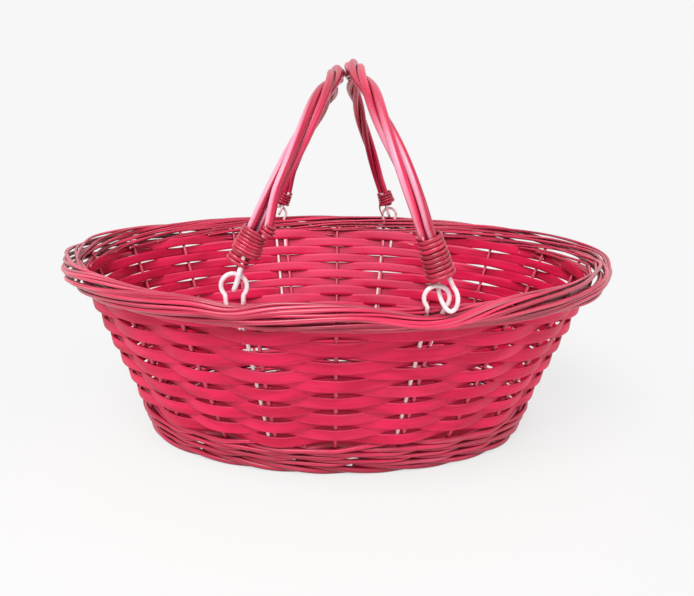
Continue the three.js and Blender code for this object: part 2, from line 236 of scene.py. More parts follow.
# Dark colours of the base: painted shade for the inside of the basket, seen through the slits
shade_dark_base_wood = dyed_wood(
    "base splint dark as painted shade", (0.22, 0.004, 0.022), (0.36, 0.008, 0.036), (0.56, 0.030, 0.080),
    across=1300, along=22, bands=90, dull=0.65, gloss=0.5, shine=0.2, lacquer=0.0, relief=0.25,
)
splints = []
for long_ways in (True, False):
    count, crossed = (SPLINTS_LONG, SPLINTS_ACROSS) if long_ways else (SPLINTS_ACROSS, SPLINTS_LONG)
    near, far = (1, 0) if long_ways else (0, 1)
    turn = 1 if long_ways else -1
    for index in range(count):
        across = (index - (count - 1) / 2) * MAT_PITCH + SPLINT_HALF * splint_edge[:, 0] * turn
        reach = MAT_HALF[far] * np.sqrt(1 - (across / MAT_HALF[near]) ** 2)
        run = np.linspace(-1, 1, SPLINT_SAMPLES * crossed)[:, None] * reach
        over = np.cos(math.pi * (run / MAT_PITCH + (crossed - 1) / 2 + index)) * turn
        rings = np.zeros((*run.shape, 3))
        rings[..., far] = run
        rings[..., near] = across
        rings[..., 2] = MAT_LEVEL + SPLINT_SWAY * (over + splint_edge[:, 1])
        splints.append((rings[:, ::-1], False, index + 10 * long_ways))
lofted("plaited_base", "basket", "base_mat", splints, shade_dark_base_wood)


# Stakes: straight willow rods, as thick as a knitting needle, that stand on the foot and carry the weave.
# They were set by hand, so a few stand off their even places. They show as short pink uprights in the slits
# between the strips. Places round the basket are counted in stakes, from the front to the right.
STAKES = 20
FRONT, RIGHT_END, BACK = 0, 5, 10
FOOT_HALF = (154.0, 85.5)
TOP_HALF = (201.0, 156.5)
FOOT_LEVEL = 5.2
RIM_LEVEL = 152.49
STAKE_FROM = 11.2
STAKE_TO = 147.5
STAKE_RADIUS = 1.45
STAKE_BOW = 0.25
STAKE_SAMPLES = 40
SHIFT_FROM = 30
SHIFT_TO = 145
FULL_TURN = 6.28


def unit(vectors):
    return vectors / np.linalg.norm(vectors, axis=-1, keepdims=True)


def part_way(value, start, end):
    """How far the value has come from the start to the end, from 0 to 1."""
    return np.clip((value - start) / (end - start), 0, 1)


def oval(half, share):
    """Points at shares of the way round an oval, from its front to its right."""
    turn = np.linspace(-math.pi / 2, 1.5 * math.pi, 4001)
    steps = np.hypot(np.diff(half[0] * np.cos(turn)), np.diff(half[1] * np.sin(turn)))
    length = np.concatenate([[0], np.cumsum(steps)])
    at = np.interp(np.mod(share, 1.0), length / length[-1], turn)
    return np.stack([half[0] * np.cos(at), half[1] * np.sin(at)], -1)


def on_wall(stake, level):
    """Points on the middle of the wall, which leans out from the foot's oval to the top's."""
    stake, level = np.broadcast_arrays(np.asarray(stake, float), np.asarray(level, float))
    rise = ((level - FOOT_LEVEL) / (RIM_LEVEL - FOOT_LEVEL))[..., None]
    flat = oval(FOOT_HALF, stake / STAKES) * (1 - rise) + oval(TOP_HALF, stake / STAKES) * rise
    return np.concatenate([flat, level[..., None]], -1)


def wall_directions(stake, level):
    """Directions round the wall, up it and out of it."""
    stake, level = np.broadcast_arrays(np.asarray(stake, float), np.asarray(level, float))
    along = unit(on_wall(stake + 0.01, level) - on_wall(stake - 0.01, level))
    climb = unit(on_wall(stake, level + 1) - on_wall(stake, level))
    return along, climb, unit(np.cross(along, climb))


def wall(stake, level, out=0.0, beside=0.0):
    """Points out from the wall and beside their stakes by the given lengths."""
    along, _, outward = wall_directions(stake, level)
    shape = on_wall(stake, level)
    out = np.broadcast_to(out, shape.shape[:-1])[..., None]
    beside = np.broadcast_to(beside, shape.shape[:-1])[..., None]
    return shape + outward * out + along * beside


def each_stake(values, stake):
    """Values given at the stakes, eased round the basket from one stake to the next."""
    low = np.floor(stake).astype(int)
    ease = (1 - np.cos(math.pi * (stake - low))) / 2
    return values[low % STAKES] * (1 - ease) + values[(low + 1) % STAKES] * ease


# How far to the right of its even place each stake stands, at the top and at the foot
shift_draw = np.random.default_rng(3)
stake_shift_top = shift_draw.normal(0, 0.035, STAKES)
stake_shift_foot = shift_draw.normal(0, 0.025, STAKES)
stake_shift_top[[0, 1, 16, 17, 18, 19]] = (-0.05, 0.04, 0.15, 0.26, 0.15, 0.08)
stake_shift_foot[[0, 1, 16, 17, 18, 19]] = (-0.05, 0.09, 0.0, 0.03, -0.03, -0.07)


def settled(stake, level):
    """Places round the basket, moved along with the stakes that stand off their even places."""
    stake = np.asarray(stake, float)
    rise = part_way(np.asarray(level, float), SHIFT_FROM, SHIFT_TO)
    shift_foot, shift_top = each_stake(stake_shift_foot, stake), each_stake(stake_shift_top, stake)
    return stake + shift_foot * (1 - rise) + shift_top * rise


def rod_rings(line, facing, radius, sides):
    """Rings of points round a rod along the line. Each ring starts on the side that faces the given way."""
    travel = unit(np.gradient(line, axis=0))
    facing = np.broadcast_to(facing, line.shape)
    first = unit(facing - travel * np.sum(facing * travel, -1, keepdims=True))
    second = np.cross(travel, first)
    turn = 2 * math.pi * np.arange(sides) / sides
    radius = np.broadcast_to(radius, len(line))[:, None, None]
    section = first[:, None] * np.cos(turn)[:, None] + second[:, None] * np.sin(turn)[:, None]
    return line[:, None] + radius * section


def mottling_group():
    """Two colours in soft flecks, and how strongly each place is flecked."""
    group = bpy.data.node_groups.new("mottling", "ShaderNodeTree")
    face = group.interface
    for name in ("Ground", "Fleck"):
        face.new_socket(name, in_out="INPUT", socket_type="NodeSocketColor")
    for name in ("Scale", "Detail", "Least", "Most"):
        face.new_socket(name, in_out="INPUT", socket_type="NodeSocketFloat")
    face.new_socket("Color", in_out="OUTPUT", socket_type="NodeSocketColor")
    face.new_socket("Flecks", in_out="OUTPUT", socket_type="NodeSocketFloat")
    nodes, links = group.nodes, group.links
    given = nodes.new("NodeGroupInput")
    result = nodes.new("NodeGroupOutput")
    place = nodes.new("ShaderNodeTexCoord")
    noise = nodes.new("ShaderNodeTexNoise")
    links.new(place.outputs["Object"], noise.inputs["Vector"])
    for socket in ("Scale", "Detail"):
        links.new(given.outputs[socket], noise.inputs[socket])
    share = nodes.new("ShaderNodeMapRange")
    links.new(noise.outputs["Fac"], share.inputs["Value"])
    links.new(given.outputs["Least"], share.inputs["From Min"])
    links.new(given.outputs["Most"], share.inputs["From Max"])
    mix = nodes.new("ShaderNodeMix")
    mix.data_type = "RGBA"
    links.new(share.outputs["Result"], mix.inputs["Factor"])
    links.new(given.outputs["Ground"], mix.inputs["A"])
    links.new(given.outputs["Fleck"], mix.inputs["B"])
    links.new(mix.outputs["Result"], result.inputs["Color"])
    links.new(noise.outputs["Fac"], result.inputs["Flecks"])
    return group


mottling = mottling_group()


def mottled(name, ground, fleck, scale, detail, least, most):
    """A plain finish in two flecked colours, with its shader and the group that colours it."""
    material = bpy.data.materials.new(name)
    material.use_nodes = True
    nodes, links = material.node_tree.nodes, material.node_tree.links
    shader = nodes["Principled BSDF"]
    flecks = nodes.new("ShaderNodeGroup")
    flecks.node_tree = mottling
    for socket, colour in (("Ground", ground), ("Fleck", fleck)):
        flecks.inputs[socket].default_value = (*colour, 1)
    for socket, value in (("Scale", scale), ("Detail", detail), ("Least", least), ("Most", most)):
        flecks.inputs[socket].default_value = value
    links.new(flecks.outputs["Color"], shader.inputs["Base Color"])
    return material, shader, flecks


willow = dyed_wood(
    "dyed willow", (0.46, 0.012, 0.050), (0.74, 0.060, 0.130), (0.92, 0.30, 0.38),
    across=1300, along=20, bands=260, dull=0.46, gloss=0.26, shine=0.4, lacquer=0.2, relief=0.18,
)
# Pale cut end of a rod, with the dye soaked in here and there
cut_pith, cut_shader, _ = mottled(
    "cut willow end", (0.70, 0.16, 0.24), (0.90, 0.42, 0.48), scale=900, detail=2, least=0.35, most=0.68
)
cut_shader.inputs["Roughness"].default_value = 0.7

stake_draw = np.random.default_rng(5)
for number in range(STAKES):
    level = np.linspace(STAKE_FROM, STAKE_TO, STAKE_SAMPLES)
    bow = STAKE_BOW * np.sin(level / 19 + stake_draw.uniform(0, FULL_TURN))
    line = wall(settled(np.full(STAKE_SAMPLES, float(number)), level), level, 0.0, bow)
    taper = np.linspace(1.06, 0.96, STAKE_SAMPLES)
    radius = STAKE_RADIUS * (1 + 0.05 * np.sin(level / 31 + number)) * taper
    rings = rod_rings(line, wall_directions(float(number), 60.0)[2], radius, 12)
    name = "stake_%02d" % (number + 1)
    lofted("willow_" + name, "basket", name, [(rings, False, number)], willow, cut_pith)


# Foot: stouter willow rods laid along the bottom edge. Each starts with a square-cut end beside a stake, high
# on the outside, runs to the right and sinks under the next ones, so two or three lie together all round.
FOOT_RUN = 2.3
FOOT_ROD = 2.6
FOOT_SPREAD = 3.1
FOOT_START_OUT = 0.8
FOOT_START_TURN = 84
FOOT_SINK = 88
FOOT_BESIDE = 0.2
FOOT_STRAY = 0.12
FOOT_CLEAR = 0.02
foot_wood = dyed_wood(
    "dyed foot willow", (0.36, 0.005, 0.036), (0.66, 0.016, 0.080), (0.88, 0.20, 0.30),
    across=1500, along=16, bands=300, dull=0.45, gloss=0.28, shine=0.40, lacquer=0.1, relief=0.15,
)
foot_draw = np.random.default_rng(31)
foot_parts = []
for number in range(STAKES):
    run = np.linspace(0.0, FOOT_RUN, 60)
    stake = number + FOOT_BESIDE + foot_draw.uniform(-FOOT_STRAY, FOOT_STRAY) + run
    turn = np.radians(FOOT_START_TURN - FOOT_SINK * run + foot_draw.normal(0, 4))
    turn += each_stake(foot_draw.normal(0, 0.05, STAKES), stake)
    level_out = unit(wall_directions(stake, FOOT_LEVEL)[2] * (1, 1, 0))
    spread = FOOT_SPREAD + FOOT_START_OUT * np.exp(-run / 0.3)
    radius = FOOT_ROD * foot_draw.uniform(0.94, 1.04) * np.linspace(1.03, 0.88, len(run))
    line = on_wall(stake, FOOT_LEVEL) + level_out * (spread * np.cos(turn))[:, None]
    line[:, 2] = np.maximum(line[:, 2] + spread * np.sin(turn), radius + FOOT_CLEAR)
    foot_parts.append((rod_rings(line, level_out, radius, 12), False, number))
lofted("rolled_foot", "basket", "foot_border", foot_parts, foot_wood, cut_pith)


# Wale: a band of thin willow rods under the strips, each passing outside two stakes and inside the next.
# It locks the stakes to the base and gives the wall its start. At the left of the front it was beaten down
# harder, and the rows above it follow.
WALE_ROUNDS = 8
WALE_LEVEL = 10.4
WALE_RISE = 2.6
WALE_HEAVE = 0.8
WALE_OUT = 0.5
WALE_SWAY = 2.6
WALE_ROD = 1.7
WALE_SAMPLES = 7
WALE_DIP_FROM = 11
WALE_DIP_OVER = 22
HALF_STAKES = 2 * STAKES
row_dip_foot = np.zeros(STAKES)
row_dip_foot[[0, 1, 2, 17, 18, 19]] = (-1.0, 0.0, 0.0, -1.5, -3.0, -4.2)


def eased_knots(values, at):
    """Smooth curve through values given at whole steps."""
    low = np.clip(np.floor(at).astype(int), 0, len(values) - 2)
    t = at - low
    pad = np.concatenate([[2 * values[0] - values[1]], values, [2 * values[-1] - values[-2]]])
    a, b, c, d = pad[low], pad[low + 1], pad[low + 2], pad[low + 3]
    return b + 0.5 * t * (c - a + t * (2 * a - 5 * b + 4 * c - d + t * (3 * (b - c) + d - a)))


# Where the rod lies at each half stake of its pattern: inside or outside, and lower or higher
wale_sway = np.array([-1, 0, 1, 1, 1, 0], float)
wale_heave = np.array([0, -1, 1, 0, -1, 1], float)
wale_steps = np.arange(0, HALF_STAKES * WALE_ROUNDS)
wale_knots_out = WALE_OUT + WALE_SWAY * wale_sway[wale_steps % 6]
wale_knots_up = WALE_LEVEL + WALE_RISE * wale_steps / HALF_STAKES + WALE_HEAVE * wale_heave[wale_steps % 6]
wale_at = np.linspace(0, HALF_STAKES * WALE_ROUNDS - 1, WALE_SAMPLES * HALF_STAKES * WALE_ROUNDS)
wale_stake = wale_at / 2
wale_level = eased_knots(wale_knots_up, wale_at)
wale_level += each_stake(row_dip_foot, wale_stake) * (wale_level - WALE_DIP_FROM) / WALE_DIP_OVER
wale_line = wall(settled(wale_stake, wale_level), wale_level, eased_knots(wale_knots_out, wale_at))
wale_thick = WALE_ROD * (1 + 0.07 * np.sin(wale_at / 7.3) + 0.05 * np.sin(wale_at / 2.9))
wale_rings = rod_rings(wale_line, wall_directions(wale_stake, wale_level)[2], wale_thick, 10)
lofted("waled_band", "basket", "wale", [(wale_rings, False, 3)], foot_wood, cut_pith)


# Woven wall: thin strips of split wood, dyed pink-red, pass the stakes in turn outside and inside. Each row
# is woven the other way about from the one below it and beaten down on it. The strips stand steeper than the
# wall, so a narrow slit is left over each stake that a strip passes outside.
ROWS = 14
TIGHT_ROWS = 7
FIRST_ROW_LEVEL = 37.4
ROW_PITCH = 7.74
STRIP_HALF = 4.00
STRIP_THICK = 0.8
STRIP_CROWN = 0.15
STRIP_SWAY = 2.9
STRIP_LEAN = 0.29
STRIP_SAMPLES = 16
ROW_UNEVEN = 0.22
WIDTH_UNEVEN = 0.10
SWAY_UNEVEN = 0.10
LEAN_UNEVEN = 0.03
# Strips are wider at the front's round ends and low at the back, where they close up. In the upper rows at
# the back's round ends they narrow at each stake and widen between, which opens short slits.
FRONT_END_WIDER = 0.15
LOW_BACK_WIDER = 0.45
SLIT_NARROWER = 1.15
SLIT_ENDS_WIDER = 0.25
END_LEAN_LESS = 0.08
HIGHLIGHT_EDGE = 0.07
strip_edge = np.array(
    [(-1, -0.25), (-0.95, -0.5), (-0.5, -0.5), (0, -0.5), (0.5, -0.5), (0.95, -0.5), (1, -0.25)]
    + [(1, 0.25), (0.95, 0.5), (0.5, 0.5), (0, 0.5), (-0.5, 0.5), (-0.95, 0.5), (-1, 0.25)]
)
row_dip_top = np.zeros(STAKES)
row_dip_top[[0, 1, 2, 17, 18, 19]] = (-0.8, 1.2, 0.6, -1.0, -1.8, -2.4)


def painted_highlight_group():
    """Painted highlight: a paler colour on the side of a piece that faces the given lamp side, up to the
    given reach along it.
    """
    group = bpy.data.node_groups.new("painted highlight", "ShaderNodeTree")
    face = group.interface
    for name in ("Dyed", "Highlight"):
        face.new_socket(name, in_out="INPUT", socket_type="NodeSocketColor")
    face.new_socket("Window", in_out="INPUT", socket_type="NodeSocketVector")
    for name in ("Least", "Most", "Amount", "Reach"):
        face.new_socket(name, in_out="INPUT", socket_type="NodeSocketFloat")
    face.new_socket("Color", in_out="OUTPUT", socket_type="NodeSocketColor")
    nodes, links = group.nodes, group.links
    given = nodes.new("NodeGroupInput")
    result = nodes.new("NodeGroupOutput")
    place = nodes.new("ShaderNodeTexCoord")
    # Painted highlight: paler where the surface faces the lamp side
    towards = nodes.new("ShaderNodeVectorMath")
    towards.operation = "DOT_PRODUCT"
    links.new(place.outputs["Normal"], towards.inputs[0])
    links.new(given.outputs["Window"], towards.inputs[1])
    lit = nodes.new("ShaderNodeMapRange")
    lit.interpolation_type = "SMOOTHSTEP"
    for source, socket in (("Least", "From Min"), ("Most", "From Max"), ("Amount", "To Max")):
        links.new(given.outputs[source], lit.inputs[socket])
    links.new(towards.outputs["Value"], lit.inputs["Value"])
    lay = nodes.new("ShaderNodeUVMap")
    lay.uv_map = "lay"
    split = nodes.new("ShaderNodeSeparateXYZ")
    links.new(lay.outputs["UV"], split.inputs[0])
    left = nodes.new("ShaderNodeMath")
    left.operation = "SUBTRACT"
    links.new(given.outputs["Reach"], left.inputs[0])
    links.new(split.outputs[0], left.inputs[1])
    near = nodes.new("ShaderNodeMapRange")
    near.interpolation_type = "SMOOTHSTEP"
    near.inputs["From Max"].default_value = HIGHLIGHT_EDGE
    links.new(left.outputs[0], near.inputs["Value"])
    share = nodes.new("ShaderNodeMath")
    share.operation = "MULTIPLY"
    links.new(lit.outputs["Result"], share.inputs[0])
    links.new(near.outputs["Result"], share.inputs[1])
    mix = nodes.new("ShaderNodeMix")
    mix.data_type = "RGBA"
    links.new(share.outputs[0], mix.inputs["Factor"])
    links.new(given.outputs["Dyed"], mix.inputs["A"])
    links.new(given.outputs["Highlight"], mix.inputs["B"])
    links.new(mix.outputs["Result"], result.inputs["Color"])
    return group


painted_highlight = painted_highlight_group()


def add_painted_highlight(material, values):
    """Puts the painted highlight between the grain of a dyed wood and its shader."""
    nodes, links = material.node_tree.nodes, material.node_tree.links
    colour = nodes["Principled BSDF"].inputs["Base Color"]
    blend_in = nodes.new("ShaderNodeGroup")
    blend_in.node_tree = painted_highlight
    for socket, value in values.items():
        blend_in.inputs[socket].default_value = value
    links.new(colour.links[0].from_socket, blend_in.inputs["Dyed"])
    links.new(blend_in.outputs["Color"], colour)


def nearness(stake, place):
    """1 at the given place, falling to -1 on the opposite side of the basket."""
    return np.cos(2 * math.pi * (stake - place) / STAKES)


strip_wood = dyed_wood(
    "dyed split wood", (0.52, 0.005, 0.046), (0.75, 0.011, 0.084), (0.88, 0.065, 0.155),
    across=1500, along=26, bands=110, dull=0.55, gloss=0.40, shine=0.22, lacquer=0.0, relief=0.22,
    painted_shade_amount=0.68,
)
# Painted sheen: strip faces that turn to the front and up, the inner faces of the back wall, are painted
# paler
strip_painted_sheen = {
    "Highlight": (0.98, 0.16, 0.30, 1),
    "Window": (0.0, -0.80, 0.60),
    "Least": 0.80,
    "Most": 0.905,
    "Amount": 0.30,
    "Reach": 9.0,
}
add_painted_highlight(strip_wood, strip_painted_sheen)

strip_draw = np.random.default_rng(11)
for row in range(ROWS):
    first = row % 2 + 2 * (row % 3 - 1)
    stake = first + np.arange(0, STAKES, 1 / STRIP_SAMPLES)
    beat = np.cos(math.pi * (stake + ROWS - 1 - row))
    round_end = part_way(np.abs(nearness(stake, RIGHT_END)), 0.45, 0.85)
    back = nearness(stake, BACK)
    open_back = round_end * np.clip(0.25 + 0.75 * back, 0, 0.85)
    dip = row_dip_foot + (row_dip_top - row_dip_foot) * row / (ROWS - 1)
    middle = FIRST_ROW_LEVEL + ROW_PITCH * row + each_stake(dip, stake)
    middle += each_stake(strip_draw.normal(0, ROW_UNEVEN, STAKES), stake)
    half = STRIP_HALF + FRONT_END_WIDER * round_end * part_way(back, 0.3, -0.7)
    half += each_stake(strip_draw.normal(0, WIDTH_UNEVEN, STAKES), stake)
    if row < TIGHT_ROWS:
        half += LOW_BACK_WIDER * part_way(back, 0, 0.5)
    else:
        half += (SLIT_ENDS_WIDER - SLIT_NARROWER * beat**2) * open_back
    reach = STRIP_SWAY * beat + each_stake(strip_draw.normal(0, SWAY_UNEVEN, STAKES), stake)
    lean = STRIP_LEAN - END_LEAN_LESS * round_end
    lean += each_stake(strip_draw.normal(0, LEAN_UNEVEN, STAKES), stake)
    height = half[:, None] * strip_edge[None, :, 0]
    crown = STRIP_CROWN * beat[:, None] * (1 - strip_edge[None, :, 0] ** 2)
    out = reach[:, None] + STRIP_THICK * strip_edge[None, :, 1] + crown - lean[:, None] * height
    level = middle[:, None] + height
    rings = wall(settled(stake[:, None], level), level, out)
    name = "strip_row_%02d" % (row + 1)
    lofted("woven_" + name, "basket", name, [(rings, True, row)], strip_wood)


# Rim border: at every stake a pair of thin willow rods comes out under the rim, runs to the right along the
# outside, climbs over the top and is tucked away inside, nine stakes further on. So the band is a loose roll
# of rods that lie almost level. It opens a little at the sharp ends of the oval and sags at the front eyes.
RIM_HALF = (205.27, 160.27)
BORDER_GROUPS = 5
BORDER_RUN = 9.0
BORDER_ROD = 1.32
BORDER_SAMPLES = 150
TUCKED = 1.2
BORDER_STRAY = 0.1
LIFT_UNEVEN = 0.8
BULGE_UNEVEN = 0.5
END_LIFT = (0.3, 2.0)
END_BULGE = 2.2
END_WAVE = 1.3
BORDER_DROP = 0.4
FRONT_DROP = 1.2
SAG_STILL_LOOSE = 4
# Height of a border rod, and its distance out from the middle of the border, at every half stake of its run
border_level = np.array(
    [137.5, 139.4, 141.0, 143.0, 145.4, 147.9, 150.3, 152.6, 154.5, 155.4]
    + [155.0, 154.0, 152.6, 151.0, 149.4, 147.8, 146.2, 144.6, 143.0]
)
border_out = np.array(
    [-9.0, -4.6, -1.0, 1.4, 2.9, 3.8, 4.1, 3.4, 1.7, -0.6]
    + [-2.6, -4.2, -5.5, -6.6, -7.5, -8.3, -9.1, -9.8, -10.4]
)
# Depth and width of the sag at the stake of each front eye
eye_sag = {0.96: (8.8, 0.58), 18.9: (3.8, 0.30)}
border_wood = dyed_wood(
    "dyed border willow", (0.30, 0.004, 0.030), (0.68, 0.016, 0.080), (0.95, 0.34, 0.45),
    across=1500, along=16, bands=300, dull=0.42, gloss=0.24, shine=0.40, lacquer=0.35, relief=0.15,
)


def on_rim(stake, out=0.0, level=0.0):
    """Points out on the level from the oval along the middle of the border, at the given heights."""
    share = np.asarray(stake, float) / STAKES
    along = unit(oval(RIM_HALF, share + 0.0005) - oval(RIM_HALF, share - 0.0005))
    level_out = np.stack([along[..., 1], -along[..., 0]], -1)
    flat = oval(RIM_HALF, share) + level_out * np.broadcast_to(out, share.shape)[..., None]
    return np.concatenate([flat, np.broadcast_to(level, share.shape)[..., None]], -1)


border_draw = np.random.default_rng(21)
border_parts = [[] for _ in range(BORDER_GROUPS)]
for number in range(STAKES):
    for twin in range(2):
        run = np.linspace(0.0, BORDER_RUN, BORDER_SAMPLES)
        stake = number + 0.5 * twin + run + border_draw.uniform(-BORDER_STRAY, BORDER_STRAY)
        free = part_way(np.minimum(run, BORDER_RUN - run), 0, TUCKED)
        sharp = np.abs(nearness(stake, RIGHT_END)) ** 5
        lift = each_stake(border_draw.normal(0, LIFT_UNEVEN, STAKES), stake)
        lift += sharp * border_draw.normal(*END_LIFT)
        bulge = each_stake(border_draw.normal(0, BULGE_UNEVEN, STAKES), stake)
        bulge += sharp * abs(border_draw.normal(0, END_BULGE))
        bulge += sharp * END_WAVE * np.sin(4.5 * stake + border_draw.uniform(0, FULL_TURN))
        sag = np.zeros(BORDER_SAMPLES)
        for at, (deep, wide) in eye_sag.items():
            beside = (stake - at + BACK) % STAKES - BACK
            sag += deep * np.exp(-((beside / wide) ** 2))
        outside = part_way(run, 1.8, 3.2) * part_way(run, 6.3, 5.3)
        drop = BORDER_DROP + FRONT_DROP * (1 + nearness(stake, FRONT)) + sag * outside
        level = eased_knots(border_level, 2 * run) + lift * free * part_way(sag, SAG_STILL_LOOSE, 0) - drop
        line = on_rim(stake, eased_knots(border_out, 2 * run) + bulge * free, level)
        radius = BORDER_ROD * border_draw.uniform(0.80, 1.14) * np.linspace(1.12, 0.80, BORDER_SAMPLES)
        radius *= 1 + 0.05 * np.sin(run * 5 + number)
        rings = rod_rings(line, np.array([0, 0, 1.0]), radius, 9)
        border_parts[number % BORDER_GROUPS].append((rings, False, number + STAKES * twin))
for index, parts in enumerate(border_parts):
    number = index + 1
    lofted(
        "rolled_border_%d" % number, "basket", "border_rod_%d" % number,
        parts, border_wood, cut_pith,
    )


# Rim eyes: plastic-coated wire loops that stand in the border. One leg of each goes far down through the
# weave beside a stake and shows between the strips as pale dashes; the other is cut short under the border.
WIRE = 1.32
WIRE_SIDES = 12
EYE_RADIUS = 7.3
EYE_NECK_HALF = 5.0
EYE_IN = 6.23
EYE_OFF = 3.4
TURNED_EYE_SHIFT = 0.6
NECK_LEVEL = 149.0
LONG_LEG_LEVELS = (33.2, 60.0, 90.0, 115.0, 138.0)
SHORT_LEG_LEVELS = (138.0, 121.0)
LEG_BETWEEN = (33, 140)
# For each eye: the stake it stands at, its crown's height, and its long leg's place at the top and bottom
rim_eyes = {
    "front_left": (18.9, 168.1, 18.93, 18.82),
    "front_right": (0.98, 162.8, 0.91, 0.99),
    "back_right": (9.02, 166.8, 9.10, 9.12),
    "back_left": (11.1, 166.8, 11.18, 11.20),
}

# Pale pink plastic coat on wire, a little stained by the dye and scuffed by the other eye
wire_coat, wire_shader, wire_flecks = mottled(
    "coated wire", (0.74, 0.40, 0.45), (0.82, 0.66, 0.68), scale=160, detail=4, least=0.30, most=0.56
)
wire_shader.inputs["Coat Weight"].default_value = 0.3
wire_shader.inputs["Coat Roughness"].default_value = 0.15
scuffs = wire_coat.node_tree.nodes.new("ShaderNodeMapRange")
scuffs.inputs["To Min"].default_value = 0.25
scuffs.inputs["To Max"].default_value = 0.45
wire_coat.node_tree.links.new(wire_flecks.outputs["Flecks"], scuffs.inputs["Value"])
wire_coat.node_tree.links.new(scuffs.outputs["Result"], wire_shader.inputs["Roughness"])


def rounded(points, spacing, rounds):
    """Points along a wire bent smoothly past the given corners, spaced evenly."""
    points = np.array(points, float)
    for _ in range(rounds):
        cut = np.stack([0.75 * points[:-1] + 0.25 * points[1:], 0.25 * points[:-1] + 0.75 * points[1:]], 1)
        points = np.concatenate([points[:1], cut.reshape(-1, 3), points[-1:]])
    length = np.concatenate([[0], np.cumsum(np.linalg.norm(np.diff(points, axis=0), axis=1))])
    at = np.linspace(0, length[-1], max(8, int(length[-1] / spacing)))
    return np.stack([np.interp(at, length, points[:, axis]) for axis in range(3)], 1)


def eye_centre(place):
    """Middle of a rim eye's loop, in from the border's middle. The turned one stands a little to the left."""
    stake, crown = rim_eyes[place][:2]
    centre = on_rim(stake, -EYE_IN, crown - EYE_RADIUS)
    centre[1] += math.copysign(EYE_OFF, centre[1])
    centre[0] -= TURNED_EYE_SHIFT * (place == "front_right")
    return centre


for place, (stake, crown, leg_top, leg_low) in rim_eyes.items():
    centre = eye_centre(place)
    opening = math.acos(EYE_NECK_HALF / EYE_RADIUS)
    loop = []
    for angle in np.linspace(math.pi + opening, -opening, 25):
        loop.append(centre + EYE_RADIUS * np.array([math.cos(angle), 0, math.sin(angle)]))
    necks = [end * (1, 1, 0) + np.array([0, 0, NECK_LEVEL]) for end in (loop[0], loop[-1])]
    long_leg = [wall(np.interp(level, LEG_BETWEEN, (leg_low, leg_top)), level) for level in LONG_LEG_LEVELS]
    short_leg = [wall(2 * stake - leg_top, level) for level in SHORT_LEG_LEVELS]
    path = rounded(long_leg + necks[:1] + loop + necks[1:] + short_leg, spacing=0.8, rounds=2)
    rings = rod_rings(path, np.array([0, 1.0, 0]), WIRE, WIRE_SIDES)
    name = "rim_eye_" + place
    lofted("wire_" + name, "basket", name, [(rings, False, 1)], wire_coat)


# Handles: three willow rods twisted together into an arch, tightest near the top, and lacquered to a shine.
# Their ends are cut off square at different heights above the eyes, and show the pale wood. The front legs
# are painted paler on the side that faces the lamp, a painted highlight. Each handle's own frame has its
# hinge at the origin and its arch along Z.
LEAN = {"left": math.radians(25.053), "right": math.radians(20.397)}
HINGE_PLACE = {"left": -61.258, "right": 54.695}
HINGE_LEVEL = 158.8
HANDLE_ROD = 2.66
STRAND = 3.1
BUNDLE_OUT = 2.256
LEG_END = 39.7
RISE = 140.0
TWIST_TURNS = 7 / 3
TWIST_TIGHTENING = 0.3
LEFT_FOOT_TURN = math.radians(60)
# Front and back cut end of each rod above the hinge
rod_ends = {
    "left": ((35.0, 11.0), (14.5, 9.8), (19.0, 12.0)),
    "right": ((10.5, 10.0), (12.0, 11.0), (9.8, 12.5)),
}
# How far the short rod at the front left stands off at its foot, and the whole front foot at the right; how
# far the left handle's back leg bows out, and how far both crests lean in on each other
CUT_ROD_APART = 4.6
RIGHT_FOOT_OUT = 2.2
LEFT_BACK_BOW = 5.5
CREST_IN = 0.9
# The heights above the hinge over which each of these comes in, and the bow goes out again
CUT_ROD_OVER = (64, 34)
RIGHT_FOOT_OVER = (105, 30)
BOW_OVER = (16, 50)
BOW_GONE_OVER = (130, 85)
CREST_OVER = (110, 135)
handle_wood = dyed_wood(
    "dyed handle willow", (0.36, 0.005, 0.034), (0.61, 0.013, 0.072), (0.84, 0.14, 0.24),
    across=900, along=10, bands=150, dull=0.45, gloss=0.30, shine=0.32, lacquer=0.25, relief=0.08,
    painted_shade_amount=0.5,
)
# Painted highlight: the lower front legs are painted paler on the side that faces the lamp
handle_painted_highlight = {
    "Highlight": (0.90, 0.46, 0.60, 1),
    "Window": (-0.78, -0.50, 0.38),
    "Least": 0.42,
    "Most": 0.98,
    "Amount": 0.68,
    "Reach": 0.125,
}
add_painted_highlight(handle_wood, handle_painted_highlight)


def handle_place(side_name, points):
    """Points of a handle's own frame, set up on the rim."""
    tilt = LEAN[side_name] * (1 if side_name == "left" else -1)
    x, y, z = np.moveaxis(points, -1, 0)
    turned = [x * math.cos(tilt) + z * math.sin(tilt), y, z * math.cos(tilt) - x * math.sin(tilt)]
    return np.stack(turned, -1) + np.array([HINGE_PLACE[side_name], 0, HINGE_LEVEL])


def arch_line(span, front_start, back_start, samples):
    """Arch in its own plane, straight legs and half an oval: points, headings and share of the way over."""
    turn = np.linspace(math.pi, 0, 2001)
    curve = np.stack([span * np.cos(turn), LEG_END + (RISE - LEG_END) * np.sin(turn)], 1)
    length = np.concatenate([[0], np.cumsum(np.linalg.norm(np.diff(curve, axis=0), axis=1))])
    at = np.linspace(front_start - LEG_END, length[-1] + LEG_END - back_start, samples)
    inside = np.clip(at, 0, length[-1])
    y = np.interp(inside, length, curve[:, 0])
    z = np.interp(inside, length, curve[:, 1]) - np.maximum(-at, 0) - np.maximum(at - length[-1], 0)
    points = np.stack([y, z], 1)
    return points, unit(np.gradient(points, axis=0)), inside / length[-1]


def eased(share):
    return share**2 * (3 - 2 * share)


